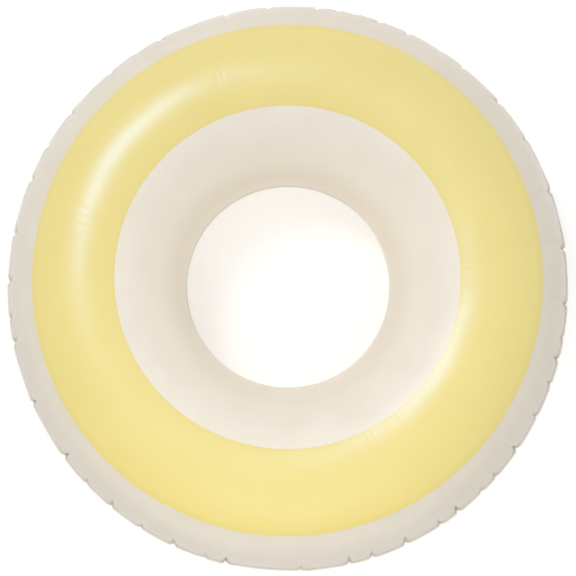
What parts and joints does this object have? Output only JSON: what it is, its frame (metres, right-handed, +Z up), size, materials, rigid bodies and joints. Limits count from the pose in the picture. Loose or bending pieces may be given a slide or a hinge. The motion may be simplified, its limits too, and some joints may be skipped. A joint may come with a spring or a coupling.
{
  "type": "swim ring",
  "caption": "Round inflatable swim ring of welded vinyl with a printed band, a centre hole and a push-in air valve with a hinged plug.",
  "frame": {"origin": "centre of the foot that the ring lies on, at the level of the surface", "axes": "+Z up along the ring's axis; the valve is on the underside, between +X and -Y"},
  "size_m": [1.0998, 1.1, 0.3479],
  "materials": {
    "cream_vinyl": "satin, soft flexible vinyl sheet",
    "yellow_print": "satin printed ink under a clear coat",
    "seam_vinyl": "satin, embossed by the welding tool",
    "valve_vinyl": "milky, soft moulded vinyl"
  },
  "bodies": {
    "ring": {"upper_skin": "cream_vinyl", "printed_band": "yellow_print", "lower_skin": "cream_vinyl", "outer_seam": "seam_vinyl", "inner_seam": "seam_vinyl", "valve_flange": "valve_vinyl", "valve_web": "valve_vinyl"},
    "stem": {"valve_stem": "valve_vinyl", "plug_tether": "valve_vinyl"},
    "plug": {"valve_plug": "valve_vinyl"},
    "flap": {"valve_flap": "valve_vinyl"}
  },
  "joints": [
    {"name": "stem_slide", "type": "slide", "parent": "ring", "child": "stem", "axis": [0.2706, -0.6533, -0.7071], "range_m": [0, 0.014], "deforming": ["valve_web"]},
    {"name": "plug_hinge", "type": "hinge", "parent": "stem", "child": "plug", "pos_m": [0.20074, -0.45589, 0.04749], "axis": [0.2706, -0.6533, 0.7071], "range_deg": [0, 130]},
    {"name": "flap_hinge", "type": "hinge", "parent": "stem", "child": "flap", "pos_m": [0.17963, -0.45197, 0.05919], "axis": [0.2706, -0.6533, 0.7071], "range_deg": [0, 60]}
  ]
}
